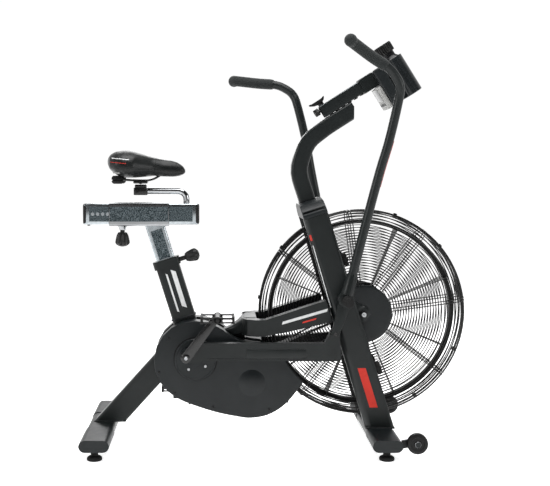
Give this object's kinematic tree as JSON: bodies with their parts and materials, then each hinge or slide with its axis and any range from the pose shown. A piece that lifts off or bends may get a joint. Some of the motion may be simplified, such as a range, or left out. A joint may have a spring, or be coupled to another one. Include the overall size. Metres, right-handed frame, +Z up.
{
  "type": "air bike",
  "caption": "Gym air bike: caged fan wheel, pedal crank with eccentric link arms, swinging handles, sliding saddle, console on a curved mast.",
  "frame": {"origin": "on the floor, under the middle of the bike's bounding box", "axes": "+X forward (fan end), +Z up, -Y is the rider's right"},
  "size_m": [1.301, 0.574, 1.3673],
  "materials": {
    "frame_paint": "satin black powder coat",
    "cage_paint": "gloss black paint",
    "fan_paint": "satin black paint",
    "moving_paint": "satin black powder coat",
    "black_plastic": "fine moulded texture",
    "knob_plastic": "moulded, slightly glossy",
    "foot_rubber": "matt",
    "wheel_rubber": "smooth",
    "crank_metal": "gloss black over forged steel",
    "plain_steel": "turned",
    "belt_rubber": "ribbed",
    "grip_rubber": "foam rubber",
    "zinc_plate": "mottled zinc",
    "chrome_plate": "polished",
    "saddle_vinyl": "black vinyl",
    "holder_metal": "gloss black enamel",
    "bottle_plastic": "black"
  },
  "bodies": {
    "frame": {"rear_stabilizer": "frame_paint", "front_stabilizer": "frame_paint", "rear_end_sleeve_right": "black_plastic", "rear_end_sleeve_left": "black_plastic", "front_end_sleeve_right": "black_plastic", "front_end_sleeve_left": "black_plastic", "rear_foot_right": "foot_rubber", "rear_foot_left": "foot_rubber", "front_foot_right": "foot_rubber", "front_foot_left": "foot_rubber", "seat_mast": "frame_paint", "rear_leg": "frame_paint", "fork_frame": "frame_paint", "front_column_right": "frame_paint", "front_column_left": "frame_paint", "column_head": "black_plastic", "console_mast": "frame_paint", "housing_right": "black_plastic", "housing_left": "black_plastic", "cage_face_right": "cage_paint", "cage_face_left": "cage_paint", "cage_rim_right": "cage_paint", "cage_rim_left": "cage_paint", "fan_axle": "plain_steel", "foot_peg_right": "plain_steel", "foot_peg_left": "plain_steel", "first_belt": "belt_rubber", "second_belt": "belt_rubber"},
    "crank": {"crank_spindle": "plain_steel", "crank_disc_right": "black_plastic", "crank_disc_left": "black_plastic", "crank_arm_right": "crank_metal", "crank_arm_left": "crank_metal"},
    "right_pedal": {"pedal_right": "knob_plastic"},
    "left_pedal": {"pedal_left": "knob_plastic"},
    "right_link": {"link_arm_right": "moving_paint"},
    "left_link": {"link_arm_left": "moving_paint"},
    "jackshaft": {"jackshaft": "plain_steel"},
    "fan": {"fan_wheel": "fan_paint", "fan_rim": "fan_paint"},
    "right_handle": {"handle_right": "moving_paint", "grip_right": "grip_rubber"},
    "left_handle": {"handle_left": "moving_paint", "grip_left": "grip_rubber"},
    "seat_post": {"seat_post": "zinc_plate", "slider_sleeve": "chrome_plate"},
    "seat_slider": {"slider_rail": "zinc_plate", "seat_stem": "chrome_plate", "saddle_clamp": "frame_paint", "saddle": "saddle_vinyl"},
    "slider_knob": {"slider_knob": "knob_plastic"},
    "mast_knob": {"mast_knob": "knob_plastic"},
    "console": {"console_boom": "frame_paint", "console_body": "black_plastic", "bottle_holder": "holder_metal"},
    "bottle": {"drink_bottle": "bottle_plastic"},
    "boom_lever": {"boom_lever": "knob_plastic"},
    "boom_knob": {"boom_knob": "knob_plastic"},
    "right_wheel": {"transport_wheel_right": "wheel_rubber"},
    "left_wheel": {"transport_wheel_left": "wheel_rubber"}
  },
  "joints": [
    {"name": "crank_spin", "type": "hinge", "parent": "frame", "child": "crank", "pos_m": [-0.2675, 0, 0.295], "axis": [0, 1, 0], "continuous": true},
    {"name": "right_pedal_spin", "type": "hinge", "parent": "crank", "child": "right_pedal", "pos_m": [-0.19318, -0.217, 0.454], "axis": [0, 1, 0], "continuous": true},
    {"name": "left_pedal_spin", "type": "hinge", "parent": "crank", "child": "left_pedal", "pos_m": [-0.34182, 0.217, 0.136], "axis": [0, 1, 0], "continuous": true},
    {"name": "right_link_swing", "type": "hinge", "parent": "crank", "child": "right_link", "pos_m": [-0.29717, -0.1335, 0.31449], "axis": [0, 1, 0], "continuous": true},
    {"name": "left_link_swing", "type": "hinge", "parent": "crank", "child": "left_link", "pos_m": [-0.23783, 0.1335, 0.27551], "axis": [0, 1, 0], "continuous": true},
    {"name": "jackshaft_spin", "type": "hinge", "parent": "frame", "child": "jackshaft", "pos_m": [-0.0765, 0, 0.213], "axis": [0, 1, 0], "continuous": true},
    {"name": "fan_spin", "type": "hinge", "parent": "frame", "child": "fan", "pos_m": [0.2985, 0, 0.448], "axis": [0, 1, 0], "continuous": true},
    {"name": "right_handle_swing", "type": "hinge", "parent": "frame", "child": "right_handle", "pos_m": [0.2285, -0.165, 0.5085], "axis": [0, 1, 0], "range_deg": [-30.4, 5]},
    {"name": "left_handle_swing", "type": "hinge", "parent": "frame", "child": "left_handle", "pos_m": [0.2285, 0.165, 0.5085], "axis": [0, 1, 0], "range_deg": [-5, 30.4]},
    {"name": "seat_height", "type": "slide", "parent": "frame", "child": "seat_post", "axis": [-0.2974, 0, 0.9548], "range_m": [-0.07, 0.12]},
    {"name": "seat_fore_aft", "type": "slide", "parent": "seat_post", "child": "seat_slider", "axis": [1, 0, 0], "range_m": [-0.04, 0.065]},
    {"name": "slider_knob_pull", "type": "slide", "parent": "seat_post", "child": "slider_knob", "axis": [0, 0, -1], "range_m": [0, 0.008], "stiffness_N_per_m": 800, "springref_m": -0.005},
    {"name": "mast_knob_pull", "type": "slide", "parent": "frame", "child": "mast_knob", "axis": [0.9548, 0, 0.2974], "range_m": [0, 0.01], "stiffness_N_per_m": 800, "springref_m": -0.005},
    {"name": "console_slide", "type": "slide", "parent": "frame", "child": "console", "axis": [0.8434, 0, 0.5373], "range_m": [-0.035, 0.06]},
    {"name": "bottle_lift", "type": "slide", "parent": "console", "child": "bottle", "axis": [-0.5373, 0, 0.8434], "range_m": [0, 0.16]},
    {"name": "boom_lever_turn", "type": "hinge", "parent": "console", "child": "boom_lever", "pos_m": [0.15934, 0, 1.15116], "axis": [-0.5373, 0, 0.8434], "range_deg": [0, 90]},
    {"name": "boom_knob_turn", "type": "hinge", "parent": "console", "child": "boom_knob", "pos_m": [0.1562, 0, 1.13375], "axis": [0.8434, 0, 0.5373], "continuous": true},
    {"name": "right_wheel_spin", "type": "hinge", "parent": "frame", "child": "right_wheel", "pos_m": [0.4475, -0.27, 0.058], "axis": [0, 1, 0], "continuous": true},
    {"name": "left_wheel_spin", "type": "hinge", "parent": "frame", "child": "left_wheel", "pos_m": [0.4475, 0.27, 0.058], "axis": [0, 1, 0], "continuous": true}
  ],
  "couplings": [
    {"joint": "jackshaft_spin", "follows": "crank_spin", "ratio": 2.5},
    {"joint": "fan_spin", "follows": "crank_spin", "ratio": 6},
    {"joint": "right_link_swing", "follows": "crank_spin", "ratio": -1},
    {"joint": "left_link_swing", "follows": "crank_spin", "ratio": -1},
    {"joint": "left_handle_swing", "follows": "right_handle_swing", "ratio": -1}
  ]
}
